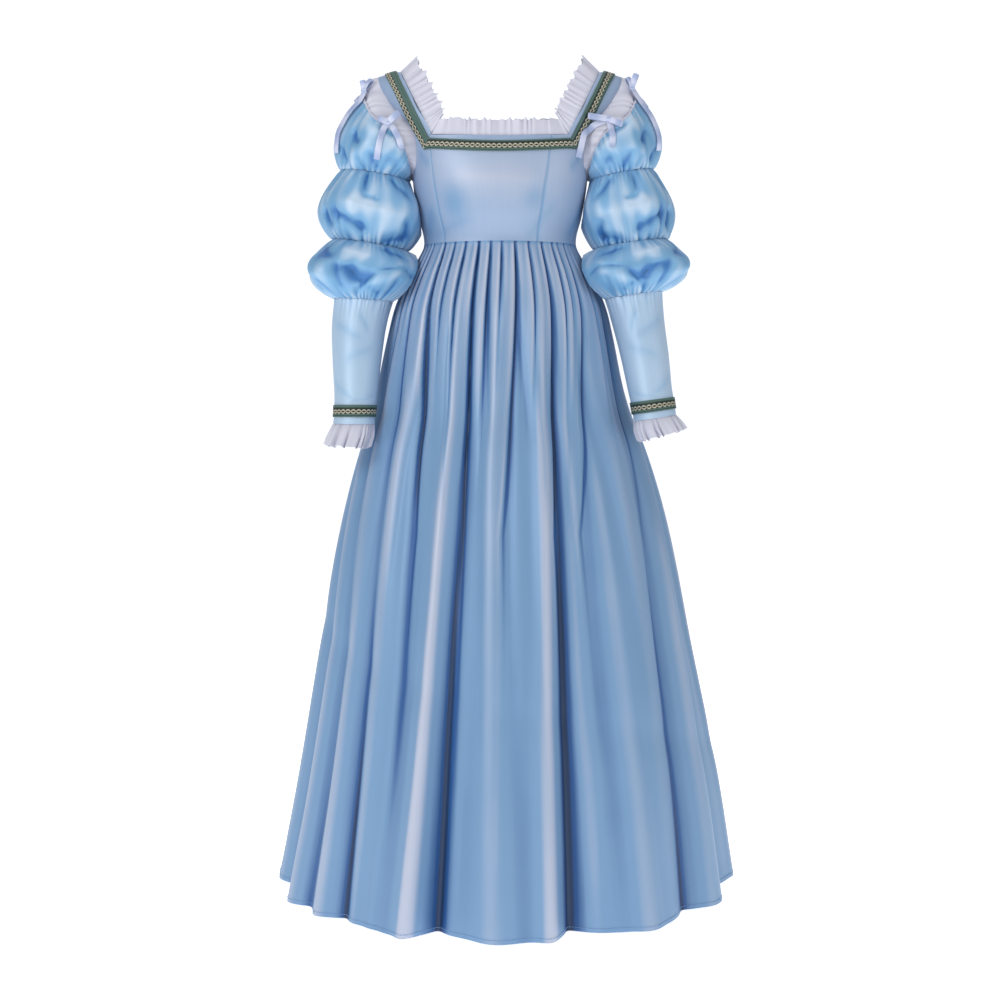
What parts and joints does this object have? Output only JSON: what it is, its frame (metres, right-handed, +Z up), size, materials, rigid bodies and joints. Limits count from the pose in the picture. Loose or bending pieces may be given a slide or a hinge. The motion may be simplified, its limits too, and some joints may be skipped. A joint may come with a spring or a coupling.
{
  "type": "tudor gown",
  "caption": "Floor-length satin gown with an empire waist, puffed tied-on sleeves, a braid-edged square neck and lawn ruffles, in the hollow form of a worn gown.",
  "frame": {"origin": "middle of the shoulder line, midway between the tops of the two straps, where the wearer's shoulders hold the gown up", "axes": "+Z up, front of the gown towards -Y, +X to the right of someone facing the gown"},
  "size_m": [0.7803, 0.7597, 1.3863],
  "materials": {
    "satin_blue": "pale blue satin",
    "satin_sleeve": "sky blue satin",
    "white_lawn": "matt white lawn",
    "braid": "woven braid in dark green, sage and old gold",
    "ribbon": "pale satin ribbon"
  },
  "bodies": {
    "root": {"bodice_front_centre": "satin_blue", "bodice_front_side_left": "satin_blue", "bodice_back_left": "satin_blue", "bodice_front_side_right": "satin_blue", "bodice_back_right": "satin_blue", "skirt_back_left": "satin_blue", "skirt_front": "satin_blue", "skirt_back_right": "satin_blue", "neck_trim_front": "braid", "neck_trim_back": "braid", "neck_trim_left": "braid", "neck_trim_right": "braid", "neck_ruffle_front": "white_lawn", "neck_ruffle_back": "white_lawn", "neck_ruffle_left": "white_lawn", "neck_ruffle_right": "white_lawn", "puff_upper_left": "satin_sleeve", "puff_middle_left": "satin_sleeve", "puff_lower_left": "satin_sleeve", "forearm_left": "satin_sleeve", "cuff_trim_left": "braid", "cuff_ruffle_left": "white_lawn", "inset_left": "white_lawn", "puff_upper_right": "satin_sleeve", "puff_middle_right": "satin_sleeve", "puff_lower_right": "satin_sleeve", "forearm_right": "satin_sleeve", "cuff_trim_right": "braid", "cuff_ruffle_right": "white_lawn", "inset_right": "white_lawn", "bow_top_left": "ribbon", "bow_front_left": "ribbon", "bow_top_right": "ribbon", "bow_front_right": "ribbon"}
  },
  "joints": []
}
